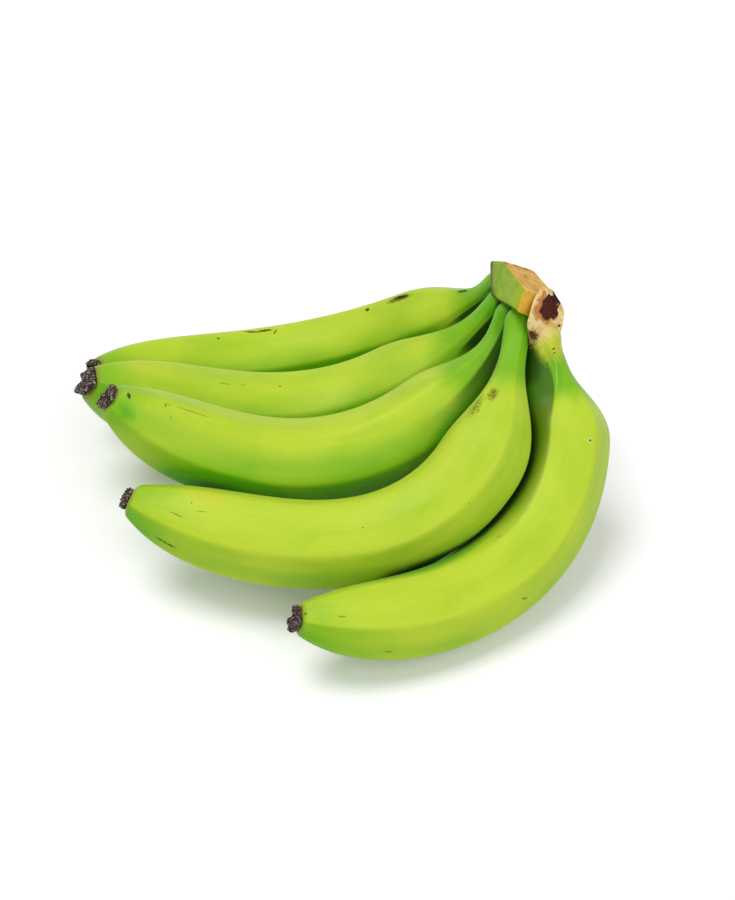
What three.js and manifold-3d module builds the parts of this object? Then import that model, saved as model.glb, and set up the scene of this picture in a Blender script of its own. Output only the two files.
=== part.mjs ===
// A hand of five green bananas, still joined at the cut crown, lying on its bellies.
//
// Lengths are in millimetres and angles in degrees, +Z is up. The hand lies with its crown
// high at +X and its tips towards -X. Bananas 1 to 4 are the inner row, fanned out from the
// back (+Y) to the front (-Y), and banana 5 is the outer row's, nested round banana 4.
import * as THREE from "three";
import { mergeVertices } from "three/addons/utils/BufferGeometryUtils.js";
import Module from "manifold-3d";

// ---- Driving dimensions: the shape that every banana shares ----------------------------
const STALK_RADIUS = 5.3;
const BELLY_RADIUS = 18.2;
const TIP_RADIUS = 4;
const FLARE = 0.6; // how much the stalk widens where it runs into the crown
// Shares of the length, from the crown:
const FLARE_REACH = 0.05;
const SHOULDER_START = 0.05;
const TAPER_START = 0.54;
const TAPER_POWER = 4.6;
const STALK_BEND_REACH = 0.13;
const BEND_GATHER = 0.32; // how much of the bend gathers in the middle
// A banana is a soft pentagon in section. Its ridges aren't spaced evenly: 0 is the outside of
// the bend, and the angles turn over the top towards the inside of the bend.
const RIDGE_ANGLES = [20, 74, 142, 218, 290];
const RIDGE_HEIGHT = 0.03; // as a share of the radius
const RIDGE_SHARPNESS = 0.3;
const END_RIM = 1.6; // length of the rounded rim round the flower remnant
const END_FACE = 0.7; // radius of the face under the remnant, as a share of the body's end

// The web between two stalks: the side that it is on, as an angle round the section, and where it
// is on the stalk and how far it reaches, as shares of the length.
const WEB_SIDE = 212;
const WEB_MIDDLE = 0.095;
const WEB_REACH = 0.07;

// Each banana: where its middle line starts, where its stalk begins on that line (below 0 it
// runs on inside the crown), the compass direction and the dip in which it leaves, the compass
// direction that it curls towards, how far it turns on the way and its length. stalkBend is an
// extra turn close to the crown, and skew moves the bend towards the tip. shoulder is the share
// of the length at which the belly is reached, girth scales the thickness, ridgeTurn turns the
// ridges round the section, web is how far the stalk is drawn out towards its neighbour's, and
// remnant scales the dried flower.
const BANANAS = [
  { root: [54.5, 74, 29], begins: 2, compass: 133, dip: 48, curlsTo: 192.5, sweep: 107, length: 219.5,
    stalkBend: -12, skew: 0, shoulder: 0.29, girth: 0.88, ridgeTurn: 13, web: 0, remnant: 1 },
  { root: [58, 60, 33], begins: 5, compass: 157, dip: 70, curlsTo: 187.5, sweep: 112, length: 215.5,
    stalkBend: 12, skew: 0.3, shoulder: 0.35, girth: 1.08, ridgeTurn: 2, web: 0, remnant: 1.35 },
  { root: [58.5, 48, 36.5], begins: 5, compass: -142, dip: 54, curlsTo: 192, sweep: 102.5, length: 204,
    stalkBend: -11, skew: 0.15, shoulder: 0.3, girth: 0.98, ridgeTurn: 6, web: 0, remnant: 1.15 },
  { root: [61, 36, 40], begins: 3, compass: -78.5, dip: 44.5, curlsTo: 181, sweep: 124.5, length: 218,
    stalkBend: 16, skew: 0.45, shoulder: 0.3, girth: 0.98, ridgeTurn: -3, web: 0, remnant: 1 },
  { root: [71.5, 41.5, 23.5], begins: -6, compass: -69, dip: 44.5, curlsTo: 211.5, sweep: 112, length: 202,
    stalkBend: -14, skew: 0.2, shoulder: 0.22, girth: 0.94, ridgeTurn: 1, web: 13, remnant: 1.05 },
];

// ---- Driving dimensions: the flower remnants and the crown ------------------------------
const REMNANT_RADIUS = 5.2;
const REMNANT_LENGTH = 3.6;
const REMNANT_LUMP = 0.09;
const CLEARANCE = 0.3; // between a stalk and its seat in the crown, and under a remnant

// The crown is a block with flat faces. Each face has the compass direction and the rise in
// which it looks, and its distance from the crown's centre. CROWN_REACH is beyond all of them.
const CROWN_CENTRE = [66.5, 54.5, 35.5];
const CROWN_REACH = 90;
const CROWN_FACES = [
  { faces: "green skin over the inner row", compass: -173.5, rise: 16.5, distance: 11 },
  { faces: "long cut", compass: 63.5, rise: 63.5, distance: 7 },
  { faces: "cut end by banana 4", compass: -44, rise: 28, distance: 13.4 },
  { faces: "skin over the outer row", compass: 14, rise: -20, distance: 11 },
  { faces: "bevel between the long cut and that skin", compass: 21, rise: 31, distance: 9 },
  { faces: "far end by banana 1", compass: 86, rise: -42.5, distance: 21 },
  { faces: "underside", compass: -127, rise: -66, distance: 10 },
];

// ---- Mesh fineness ----------------------------------------------------------------------
const SIDES = 20;
const RINGS = 36;
const RING_GATHER = 0.5; // how much closer together the rings are at both ends
const RIM_RINGS = 3;
const LONGEST_STEP = 0.005; // along a middle line, as a share of the length
const REMNANT_SIDES = 15;

// ---- Looks ------------------------------------------------------------------------------
const PEEL = new THREE.MeshStandardMaterial({ color: 0x9cc43a, roughness: 0.42, metalness: 0 });
const CROWN_SKIN = new THREE.MeshStandardMaterial({ color: 0xc9a45c, roughness: 0.75, metalness: 0 });
const DRIED_FLOWER = new THREE.MeshStandardMaterial({ color: 0x33261f, roughness: 0.9, metalness: 0 });

const UP = new THREE.Vector3(0, 0, 1);
const { degToRad, clamp, lerp, smootherstep } = THREE.MathUtils;
const wasm = await Module();
wasm.setup();

// A unit vector that looks in a compass direction (0 is +X, 90 is +Y) and rises by an angle.
function heading(compass, rise) {
  const turn = degToRad(compass);
  const climb = degToRad(rise);
  const level = Math.cos(climb);
  return new THREE.Vector3(level * Math.cos(turn), level * Math.sin(turn), Math.sin(climb));
}

// The radius of a banana at a share u of its length.
function radiusAt(u, banana) {
  const swell = smootherstep(u, SHOULDER_START, banana.shoulder);
  const flare = FLARE * Math.exp(-((u / FLARE_REACH) ** 2));
  const taper = clamp((u - TAPER_START) / (1 - TAPER_START), 0, 1) ** TAPER_POWER;
  const body = STALK_RADIUS + flare + (BELLY_RADIUS - STALK_RADIUS) * swell;
  return banana.girth * body * (1 - (1 - TIP_RADIUS / BELLY_RADIUS) * taper);
}

// How far the banana has turned, in radians, at a share u of its length.
function turnAt(u, banana) {
  const wave = 2 * Math.PI * u;
  const gathered = u - (BEND_GATHER * Math.sin(wave)) / (2 * Math.PI)
    + (banana.skew * (1 - Math.cos(wave))) / (2 * Math.PI);
  const stalk = banana.stalkBend * Math.exp(-((u / STALK_BEND_REACH) ** 2));
  return degToRad(banana.sweep * gathered + stalk);
}

// The middle line of a banana, which lies in one plane: the point, the direction towards the
// inside of the bend and the direction square to the plane at each share of the length. A share
// below 0 is inside the crown, where the stalk runs on straight.
function middleLine(banana, shares) {
  const leaves = heading(banana.compass, -banana.dip);
  const towards = heading(banana.curlsTo, 0);
  const curls = towards.addScaledVector(leaves, -towards.dot(leaves)).normalize();
  const frameAt = (u) => {
    const turn = turnAt(Math.max(u, 0), banana);
    return {
      along: leaves.clone().multiplyScalar(Math.cos(turn)).addScaledVector(curls, Math.sin(turn)),
      inward: curls.clone().multiplyScalar(Math.cos(turn)).addScaledVector(leaves, -Math.sin(turn)),
    };
  };
  const point = new THREE.Vector3(...banana.root);
  let u = 0;
  return shares.map((share) => {
    const steps = Math.ceil(Math.abs(share - u) / LONGEST_STEP);
    const step = (share - u) / steps;
    for (let k = 0; k < steps; k += 1) {
      point.addScaledVector(frameAt(u + step / 2).along, step * banana.length);
      u += step;
    }
    const { along, inward } = frameAt(share);
    const side = new THREE.Vector3().crossVectors(inward, along);
    return { point: point.clone(), inward, side };
  });
}

// Bends a lathed shape, whose axis is the banana's length, along the banana's middle line.
// heights are the heights of the lathe's profile. For an angle round the lathe, the lathe's
// radius and a share of the length, section gives the angle round the banana and the radius.
function bend(lathe, banana, heights, section) {
  const line = middleLine(banana, heights.map((height) => height / banana.length));
  const frames = new Map(heights.map((height, k) => [Math.fround(height), line[k]]));
  const position = lathe.getAttribute("position");
  for (let k = 0; k < position.count; k += 1) {
    const { point, inward, side } = frames.get(position.getY(k));
    const round = Math.atan2(position.getX(k), position.getZ(k));
    const turned = THREE.MathUtils.euclideanModulo(round, 2 * Math.PI);
    const lathed = Math.hypot(position.getX(k), position.getZ(k));
    const { angle, radius } = section(turned, lathed, position.getY(k) / banana.length);
    const placed = point.clone()
      .addScaledVector(inward, -radius * Math.cos(angle))
      .addScaledVector(side, radius * Math.sin(angle));
    position.setXYZ(k, placed.x, placed.y, placed.z);
  }
  return closedGeometry(lathe);
}

// The same surface with its seams merged, holding only positions.
function closedGeometry(geometry) {
  geometry.deleteAttribute("normal");
  geometry.deleteAttribute("uv");
  return mergeVertices(geometry, 1e-3);
}

// The soft pentagon's section. Equal parts of the lathe's circle go to the five sides, so that
// the lathe has points on the ridges.
function pentagon(banana) {
  const ridges = [...RIDGE_ANGLES, RIDGE_ANGLES[0] + 360];
  return (round, lathed, share) => {
    const sides = Math.min((RIDGE_ANGLES.length * round) / (2 * Math.PI), RIDGE_ANGLES.length);
    const side = Math.min(Math.floor(sides), RIDGE_ANGLES.length - 1);
    const angle = lerp(ridges[side], ridges[side + 1], sides - side) + banana.ridgeTurn;
    const wave = 2 * Math.PI * sides;
    const ridge = Math.cos(wave) + RIDGE_SHARPNESS * Math.cos(2 * wave);
    const webSide = Math.max(0, Math.cos(degToRad(angle - WEB_SIDE))) ** 2;
    const web = banana.web * webSide * Math.exp(-(((share - WEB_MIDDLE) / WEB_REACH) ** 2));
    return { angle: degToRad(angle), radius: lathed * (1 + RIDGE_HEIGHT * ridge) + web };
  };
}

// Heights along a banana, closer together at the stalk and the tip than at the belly.
function ringHeights(start, end) {
  const heights = [];
  for (let k = 0; k <= RINGS; k += 1) {
    const share = k / RINGS;
    const gathered = share - (RING_GATHER * Math.sin(2 * Math.PI * share)) / (2 * Math.PI);
    heights.push(lerp(start, end, gathered));
  }
  return heights;
}

function bodyLengthOf(banana) {
  return banana.length - REMNANT_LENGTH - CLEARANCE - END_RIM;
}

// One banana with its stalk. grow makes it thicker all round, for cutting its seat.
function bananaGeometry(banana, grow = 0) {
  const bodyLength = bodyLengthOf(banana);
  const heights = ringHeights(banana.begins - grow, bodyLength);
  const profile = heights.map((height) => {
    const radius = radiusAt(Math.max(height, 0) / banana.length, banana) + grow;
    return new THREE.Vector2(radius, height);
  });
  const endRadius = profile.at(-1).x;
  for (let k = 1; k <= RIM_RINGS; k += 1) {
    const narrower = lerp(1, END_FACE, (k / RIM_RINGS) ** 1.5);
    heights.push(bodyLength + (END_RIM * k) / RIM_RINGS);
    profile.push(new THREE.Vector2(endRadius * narrower, heights.at(-1)));
  }
  profile.unshift(new THREE.Vector2(0, heights[0]));
  profile.push(new THREE.Vector2(0, heights.at(-1)));
  return bend(new THREE.LatheGeometry(profile, SIDES), banana, heights, pentagon(banana));
}

// The dried flower remnant on a banana's tip: a lumpy stub.
function remnantGeometry(banana, index) {
  const start = banana.length - REMNANT_LENGTH;
  const outline = [[0.9, 0], [1, 0.25], [0.94, 0.6], [0.74, 0.88], [0.4, 1]];
  const profile = outline.map(([wide, along]) =>
    new THREE.Vector2(REMNANT_RADIUS * banana.remnant * wide, start + REMNANT_LENGTH * along));
  const heights = profile.map((corner) => corner.y);
  profile.unshift(new THREE.Vector2(0, heights[0]));
  profile.push(new THREE.Vector2(0, heights.at(-1)));
  const lumpy = (angle, lathed) => {
    const lumps = Math.sin(3 * angle + index) + 0.6 * Math.sin(5 * angle + 2 * index);
    return { angle, radius: lathed * (1 + REMNANT_LUMP * lumps) };
  };
  return bend(new THREE.LatheGeometry(profile, REMNANT_SIDES), banana, heights, lumpy);
}

// The crown's block: a cube with all that lies outside the faces taken off.
function crownBlock() {
  const centre = new THREE.Vector3(...CROWN_CENTRE);
  const cube = new THREE.BoxGeometry(CROWN_REACH, CROWN_REACH, CROWN_REACH);
  cube.translate(centre.x, centre.y, centre.z);
  return CROWN_FACES.reduce((block, { compass, rise, distance }) => {
    const outward = heading(compass, rise);
    const offcut = new THREE.BoxGeometry(2 * CROWN_REACH, 2 * CROWN_REACH, CROWN_REACH);
    offcut.translate(0, 0, distance + CROWN_REACH / 2);
    offcut.applyQuaternion(new THREE.Quaternion().setFromUnitVectors(UP, outward));
    offcut.translate(centre.x, centre.y, centre.z);
    return block.subtract(toSolid(closedGeometry(offcut)));
  }, toSolid(closedGeometry(cube)));
}

function toSolid(geometry) {
  return new wasm.Manifold(new wasm.Mesh({
    numProp: 3,
    vertProperties: geometry.getAttribute("position").array,
    triVerts: new Uint32Array(geometry.index.array),
  }));
}

function toGeometry(solid) {
  const { vertProperties, triVerts } = solid.getMesh();
  const geometry = new THREE.BufferGeometry();
  geometry.setAttribute("position", new THREE.BufferAttribute(vertProperties, 3));
  geometry.setIndex(new THREE.BufferAttribute(triVerts, 1));
  return geometry;
}

// The crown: the block with a seat cut into it for each stalk.
function crownGeometry() {
  const seats = BANANAS.map((banana) => toSolid(bananaGeometry(banana, CLEARANCE)));
  return toGeometry(seats.reduce((left, seat) => left.subtract(seat), crownBlock()));
}

function named(name, geometry, material) {
  const mesh = new THREE.Mesh(geometry, material);
  mesh.name = name;
  return mesh;
}

const hand = new THREE.Group();
hand.name = "hand_of_bananas";
hand.add(named("crown", crownGeometry(), CROWN_SKIN));
BANANAS.forEach((banana, index) => {
  const number = index + 1;
  hand.add(named(`banana_${number}`, bananaGeometry(banana), PEEL));
  hand.add(named(`flower_remnant_${number}`, remnantGeometry(banana, index), DRIED_FLOWER));
});

// The origin is on the table, under the middle of the hand.
const box = new THREE.Box3().setFromObject(hand);
const middle = box.getCenter(new THREE.Vector3());
hand.position.set(-middle.x, -middle.y, -box.min.z);

export default hand;
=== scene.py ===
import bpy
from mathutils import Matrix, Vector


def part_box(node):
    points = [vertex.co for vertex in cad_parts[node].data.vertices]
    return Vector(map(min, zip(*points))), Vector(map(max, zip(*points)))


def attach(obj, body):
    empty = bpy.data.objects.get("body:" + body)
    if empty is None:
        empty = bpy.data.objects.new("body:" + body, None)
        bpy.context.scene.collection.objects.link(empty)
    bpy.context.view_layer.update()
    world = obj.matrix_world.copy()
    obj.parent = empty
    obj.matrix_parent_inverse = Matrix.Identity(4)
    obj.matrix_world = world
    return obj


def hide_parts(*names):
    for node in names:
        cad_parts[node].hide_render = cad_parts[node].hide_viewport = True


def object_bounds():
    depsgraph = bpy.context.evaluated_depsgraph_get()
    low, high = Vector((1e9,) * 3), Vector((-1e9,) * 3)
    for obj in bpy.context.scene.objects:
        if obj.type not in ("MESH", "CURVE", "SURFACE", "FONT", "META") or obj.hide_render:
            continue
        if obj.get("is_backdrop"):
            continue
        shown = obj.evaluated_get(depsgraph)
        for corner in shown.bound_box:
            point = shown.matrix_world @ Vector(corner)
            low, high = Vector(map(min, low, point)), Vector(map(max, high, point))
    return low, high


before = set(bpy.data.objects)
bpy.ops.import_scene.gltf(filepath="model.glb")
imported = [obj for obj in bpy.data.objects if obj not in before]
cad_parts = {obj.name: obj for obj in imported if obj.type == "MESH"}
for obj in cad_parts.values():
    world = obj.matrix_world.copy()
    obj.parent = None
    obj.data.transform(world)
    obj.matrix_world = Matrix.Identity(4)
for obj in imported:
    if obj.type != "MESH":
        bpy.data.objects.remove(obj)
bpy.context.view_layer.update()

# The visual model of a hand of five green bananas: the peels with their stalks, the cut crown
# that joins them and the dried flower ends. Shapes are worked out in millimetres in the same
# way as the solids and put into meshes in metres. Angles are in degrees.
import math

import bpy
import numpy as np
from mathutils import Matrix, Vector

bl_info = {
    "name": "Hand of green bananas",
    "version": (1, 0, 0),
    "blender": (4, 5, 0),
    "location": "3D View > Sidebar > Bananas",
    "description": "Makes a hand of green bananas, its cut crown, its dried flowers and a stage",
    "category": "Add Mesh",
}

MM = 0.001

# ---- Sizes that the solids and these pieces share ---------------------------------------
# A stalk is wider by the flare where it leaves the crown. Starts, middles and reaches here are
# shares of a banana's length, from the crown.
FLARE = 0.6
FLARE_REACH = 0.05
SHOULDER_START = 0.05
TAPER_START = 0.54
TAPER_POWER = 4.6
STALK_BEND_REACH = 0.13
BEND_GATHER = 0.32
RIDGE_ANGLES = np.array([20, 74, 142, 218, 290])
RIDGE_SHARPNESS = 0.3
# A tip is rounded off over its rim to an end face, which is this share of the radius there
END_RIM = 1.6
END_FACE = 0.7
CLEARANCE = 0.3
REMNANT_LENGTH = 3.6
REMNANT_LUMP = 0.09
# Between two stalks the outer row's banana spreads into a web
WEB_SIDE = 212
WEB_MIDDLE = 0.095
WEB_REACH = 0.07

# ---- Sizes that these pieces alone have --------------------------------------------------
# The outer row's banana swells a little where it nests against the inner row's
NEST_SIDE = 205
NEST_MIDDLE = 0.42
NEST_REACH = 0.19
# Its stalk has a collar where it meets the stem's end
COLLAR_SIDE = 40
COLLAR_MIDDLE = 0.002
COLLAR_REACH = 0.019
# A stalk runs on inside the crown by its cap
STALK_CAP = 7
CAP_RINGS = 15
# A stalk is drawn back under the crown in this direction by its tuck, which fades over this
# share of its length
TUCK = (85, -36.5)
TUCK_REACH = 0.11
# A fine crease stands on each ridge. Widths here are shares of the way from ridge to ridge.
CREASE_HEIGHT = 0.006
CREASE_WIDTH = 0.045
RIDGE_WIDTH = 0.07
# How far a piece stays inside the box of its solid
INSET = 0.1

# A banana leaves its root in a compass direction, dips, and curls towards another direction by
# its sweep. Lengths are in millimetres; shoulder, skew and girth are plain numbers.
BANANAS = [
    dict(root=(54.5, 74, 29), begins=2, compass=133, dip=48, curls_to=192.5, sweep=107,
         length=219.5, tuck=3, stalk_bend=-12, skew=0, shoulder=0.29, girth=0.88, ridge_turn=13,
         web=0, nest=0, collar=0, remnant=1),
    dict(root=(58, 60, 33), begins=5, compass=157, dip=70, curls_to=187.5, sweep=112,
         length=215.5, tuck=7, stalk_bend=12, skew=0.3, shoulder=0.35, girth=1.08, ridge_turn=2,
         web=0, nest=0, collar=0, remnant=1.35),
    dict(root=(58.5, 48, 36.5), begins=5, compass=-142, dip=54, curls_to=192, sweep=102.5,
         length=204, tuck=9.5, stalk_bend=-11, skew=0.15, shoulder=0.3, girth=0.98, ridge_turn=6,
         web=0, nest=0, collar=0, remnant=1.15),
    dict(root=(61, 36, 40), begins=3, compass=-78.5, dip=44.5, curls_to=181, sweep=124.5,
         length=218, tuck=9.5, stalk_bend=16, skew=0.45, shoulder=0.3, girth=0.98, ridge_turn=-3,
         web=0, nest=0, collar=0, remnant=1),
    dict(root=(71.5, 41.5, 23.5), begins=-6, compass=-69, dip=44.5, curls_to=211.5, sweep=112,
         length=202, tuck=-6, stalk_bend=-14, skew=0.2, shoulder=0.22, girth=0.94, ridge_turn=1,
         web=13, nest=3.3, collar=2.2, remnant=1.05),
]

# Colours of the marks on the peels, in the order in which they lie on each other
TINTS = {
    "yellow": (0.6, 0.6, 0.04),
    "green": (0.07, 0.34, 0.01),
    # This dark green is painted shade, on faces that look at another stalk and in the gap between
    # the outer row's stalk and the next
    "painted_shade": (0.016, 0.055, 0),
    "tan": (0.84, 0.62, 0.26),
    # pale is pale peel, and on banana 5's stalk a painted highlight along a ridge
    "pale_and_highlight": (0.62, 0.72, 0.2),
    "brown": (0.15, 0.035, 0.014),
    "scuff": (0.17, 0.15, 0.01),
    "dark": (0.02, 0.014, 0.006),
}
# A face that looks at another stalk is painted shade in dark green: its angle round the fruit,
# half its width, the shares of the length over which it fades out, and its strength
NO_INNER_SHADE = (0, 0, 0, 0.01, 0)
# One look for each banana. Its skin is greener on its green side, by greenness and near the tip
# by tip_greenness, with a facet that begins where the cosine from the green side is edge. It
# ripens at this share of the length, to ripe, less tip at its very end. shade is how much painted
# shade greens and darkens it near its neighbours. A mark is its share of the length, its angle
# round the fruit, its length and width in millimetres, its slant, how ragged and how broken it
# is, how soft and how strong.
LOOKS = [
    dict(green_side=95, greenness=1, tip_greenness=0.4, edge=0.5, ripens=0.125, ripe=0.78,
         tip=0.6, shade=0.6, inner=(105, 30, 0.13, 0.2, 0.95), marks={
        "scuff": [(0.268, 222, 17, 4, 0, 1.2, 0.3, 0.5, 1)],
        "dark": [(0.635, 226, 10, 1.7, 12, 1, 0.25, 0.5, 0.85),
                 (0.605, 225, 10, 2, 0, 1, 0.25, 0.5, 0.9),
                 (0.583, 219, 4, 1.2, -50, 1, 0.3, 0.5, 0.8),
                 (0.717, 219, 2, 1.2, 0, 0.6, 0, 0.5, 0.9),
                 (0.356, 221, 3, 2.4, 20, 0.8, 0, 0.5, 0.95),
                 (0.265, 224, 11, 2.4, 6, 1, 0.3, 0.5, 1),
                 (0.115, 226, 9, 2, 6, 1, 0.36, 0.5, 0.95)]}),
    dict(green_side=84, greenness=0.8, tip_greenness=0.3, edge=0.5, ripens=0.175, ripe=0.8,
         tip=0.6, shade=1.2, inner=(92, 29, 0.115, 0.175, 1), marks={
        "yellow": [(0.89, 200, 26, 12, 0, 0.5, 0, 0.9, 0.35)],
        "scuff": [(0.718, 184.5, 6, 1, 8, 0.8, 0.3, 0.5, 0.7),
                  (0.673, 186, 5, 0.8, -5, 0.8, 0.3, 0.5, 0.6)],
        "dark": [(0.583, 186, 1.4, 1.3, 0, 0.4, 0, 0.5, 0.85)]}),
    dict(green_side=48, greenness=0.9, tip_greenness=0.15, edge=0.85, ripens=0.19, ripe=0.87,
         tip=0.6, shade=1, inner=(85, 28, 0.09, 0.34, 0.9), marks={
        "green": [(0.952, 96, 13, 9, 0, 0.5, 0, 0.9, 0.6),
                  (0.885, 108, 42, 17, 0, 0.5, 0, 0.9, 0.3)],
        "scuff": [(0.83, 147, 24, 1, 0, 1.0, 0.4, 0.6, 0.6),
                  (0.8, 58, 8, 0.5, 10, 0.8, 0.35, 0.5, 0.6),
                  (0.887, 146, 4, 0.6, 10, 0.8, 0.3, 0.5, 0.7)],
        "dark": [(0.892, 143, 2.4, 0.8, 62, 0.8, 0, 0.5, 0.7),
                 (0.963, 139, 3.4, 1.7, 62, 0.8, 0, 0.4, 0.9),
                 (0.872, 127, 2, 0.5, 60, 0.6, 0, 0.5, 0.5)]}),
    dict(green_side=350, greenness=0.28, tip_greenness=0.5, edge=0.16, ripens=0.125, ripe=0.87,
         tip=0.65, shade=0.2, inner=NO_INNER_SHADE, marks={
        "yellow": [(0.845, 130, 26, 12, 0, 0.5, 0, 0.9, 0.5),
                   (0.46, 42, 50, 12, 0, 0.5, 0, 0.9, 0.5)],
        "scuff": [(0.89, 93, 7, 0.8, 8, 0.8, 0.3, 0.5, 0.7),
                  (0.845, 108, 6, 0.7, -8, 0.8, 0.3, 0.5, 0.6),
                  (0.764, 140, 8, 0.4, 0, 0.8, 0.4, 0.5, 0.4),
                  (0.67, 148, 12, 0.4, 0, 0.8, 0.45, 0.5, 0.4),
                  (0.19, 141, 18, 7, -12, 1.4, 0.41, 0.8, 0.9),
                  (0.157, 121, 9, 6, 0, 1.4, 0.38, 0.8, 0.95),
                  (0.5, 25.5, 9, 2, 4, 1, 0.42, 0.6, 0.7)],
        "dark": [(0.869, 118, 0.9, 0.7, 0, 0.3, 0, 0.4, 0.7),
                 (0.893, 35, 12, 1.3, 0, 0.9, 0.35, 0.5, 0.95),
                 (0.543, 103, 0.8, 0.8, 0, 0.3, 0, 0.4, 0.7),
                 (0.356, 66.5, 0.8, 0.8, 0, 0.3, 0, 0.4, 0.6),
                 (0.492, 24, 5, 0.9, 0, 0.9, 0.35, 0.5, 0.8)]}),
    dict(green_side=330, greenness=0.3, tip_greenness=0.75, edge=-0.26, ripens=0.125, ripe=0.87,
         tip=0.2, shade=0.5, inner=(190, 52, 0.1, 0.7, 0.75), marks={
        "yellow": [(0.012, 108, 20, 17, 0, 0.8, 0, 0.8, 0.95),
                   (0.015, 55, 20, 12, 0, 0.8, 0, 0.8, 0.85)],
        # These green marks are greener peel and, partly, painted shade: a band beside the dark
        # gap at the stalk and the inner face under banana 4
        "green": [(0.06, 122, 30, 6, 0, 0.2, 0, 0.5, 0.3),
                  (0.7, 176, 92, 22, 0, 0.3, 0, 0.7, 0.85)],
        # painted shade in the gap between this stalk and banana 4's
        "painted_shade": [(0.03, 196, 40, 16, 0, 0.2, 0, 0.4, 0.95)],
        "tan": [(-0.03, 105, 18, 26, 0, 1, 0, 0.8, 1), (-0.03, 50, 15, 14, 0, 1, 0, 0.8, 0.9)],
        "brown": [(-0.022, 142, 8, 5.5, 0, 1, 0.1, 0.6, 1)],
        "pale_and_highlight": [(0.2236, 83, 3.4, 3.4, 0, 0.3, 0, 0.8, 0.6),
                 # a painted highlight along a ridge of the stalk
                 (0.075, 122, 30, 0.7, 14, 0.2, 0, 0.8, 0.5)],
        "scuff": [(0.513, 143, 3.5, 1.1, 20, 0.9, 0.3, 0.5, 0.5),
                  (0.915, 94, 4, 0.8, 0, 0.8, 0.25, 0.5, 0.7),
                  (0.822, 34, 4, 0.9, 10, 0.8, 0.25, 0.5, 0.8),
                  (0.55, 49, 4, 1.3, 40, 0.9, 0.25, 0.5, 0.75),
                  (0.957, 9, 12, 1.2, 0, 1, 0.45, 0.5, 0.7)],
        "dark": [(0.2236, 83, 1.2, 1.2, 0, 0.2, 0, 0.4, 0.95),
                 (0.0235, 93, 0.8, 2, 0, 0.5, 0, 0.4, 0.9),
                 (0.0315, 96, 0.7, 1.6, 0, 0.5, 0, 0.4, 0.8),
                 (0.978, 105, 0.9, 0.9, 0, 0.3, 0, 0.4, 0.8),
                 (0.981, 160, 1, 1, 0, 0.3, 0, 0.4, 0.8)]}),
]
# Marks of these tints are rougher than the skin
ROUGH_TINTS = ("brown", "scuff", "dark")
# How deep a mark reaches into the peel, and a spot into the stem's end
MARK_DEPTH = 8 * MM
SPOT_DEPTH = 6 * MM

# The crown is a block, left by the long cut, with the cut end of the bunch's stem standing out
# at the front. Each face has the compass direction and the rise in which it looks and its
# distance from the crown's centre.
CROWN_CENTRE = np.array([71.1, 53, 33.7])
BLOCK_SKIN = {
    "inner row": (-167.5, 15, 15.8),
    "left": (170.5, -11.5, 22.8),
    "inner lower": (-134.5, -50, 7.4),
    "outer row": (16.5, -20, 6.5),
    "far end": (86, -42.5, 20.6),
    "underside": (-127, -66, 9),
    "top left": (76, 51.5, 15.4),
}
BLOCK_CUTS = {
    "long cut": (27, 52, 4.65),
    "front": (-55.5, -3.5, 5.9),
    "bevel": (24, 22, 8),
    "top": (72, 50.5, 13.9),
}
STEM_SKIN = {
    "upper left": (164.5, 6.5, 2.3),
    "left": (156.5, 16, 2.5),
    "middle left": (153, 17.5, 1.8),
    "lower left": (169, -8.5, 3.8),
    "lowest left": (180, -24, 5.9),
    "bottom": (-106, -59, 11.7),
    "right": (10, -12, 7),
    "upper right": (34, 20, 3.8),
    "top": (77, 49.5, 5.5),
    "back": (136, -28, 8),
}
STEM_CUT = (-44, 28, 11.2)
# Below the stem's cut its side falls back to the front banana's stalk
STEM_CHIN = (-56.0, 1.5, 13.7)
# How sharply faces meet: the larger the power, the sharper the edge between them
SKIN_POWER = 22
CUTS_POWER = 26
LOWER_POWER = 14
STEM_SKIN_POWER = 13
STEM_CUT_POWER = 22
STEM_POWER = 16
JOIN_POWER = 24
# Compass direction of the cut's fibres
FIBRE_COMPASS = -44
# Places on the stem's cut are millimetres across and up from under the crown's centre. Its
# core has a place and two radii.
CORE = (-7.2, 0.4)
CORE_SIZE = (4.9, 5)
CROWN_TINTS = {
    "green": (0.5, 0.58, 0.16),
    "yellow": (0.76, 0.6, 0.1),
    "cream": (0.86, 0.7, 0.36),
    "brown": (0.09, 0.03, 0.015),
    "black": (0.02, 0.01, 0.008),
}
# Each spot is its place across and up, its width and height, and how ragged, how broken, how
# soft and how strong it is.
CROWN_SPOTS = {
    "green": [(-22, 0.5, 3.4, 10, 0.8, 0, 0.9, 0.8)],
    "yellow": [(-10.5, -8.2, 13, 9, 0.9, 0, 0.8, 0.9)],
    "cream": [(-17, 5, 3, 9, 1, 0.4, 0.8, 0.8), (-2.3, -4.5, 3, 6, 1, 0.35, 0.8, 0.8)],
    "brown": [(-19.6, -5.6, 6.6, 7, 1.2, 0.2, 0.6, 1), (-3.9, -8.5, 1.8, 1.8, 0.8, 0, 0.5, 1),
              (-12.5, 7, 2, 1.4, 1, 0.3, 0.6, 0.8)],
    "black": [(-1.3, 3, 5, 11, 1.2, 0.25, 0.5, 1)],
}
# The skin bulges here over the tops of the inner row's stalks, by this height and this way
BULGE_PLACE = np.array([-9.5, -10.5, 3.5])
BULGE_HEIGHT = 7
BULGE_REACH = 10
BULGE_WAY = (-90, 40)

# The camera looks north and down at the object's middle, moved by its aim, in metres
CAMERA_RISE = 40
CAMERA_DISTANCE = 0.9
CAMERA_LENS = 90
CAMERA_AIM = (0.0117, -0.0208, 0.001)
FLOOR_HALF = 4
FLOOR_GLOW = 0.1
# Compass direction, rise, strength and width of each light
LIGHTS = {"key light": (180, 74, 1.5, 32), "fill light": (-60, 36, 0.9, 50)}


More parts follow.
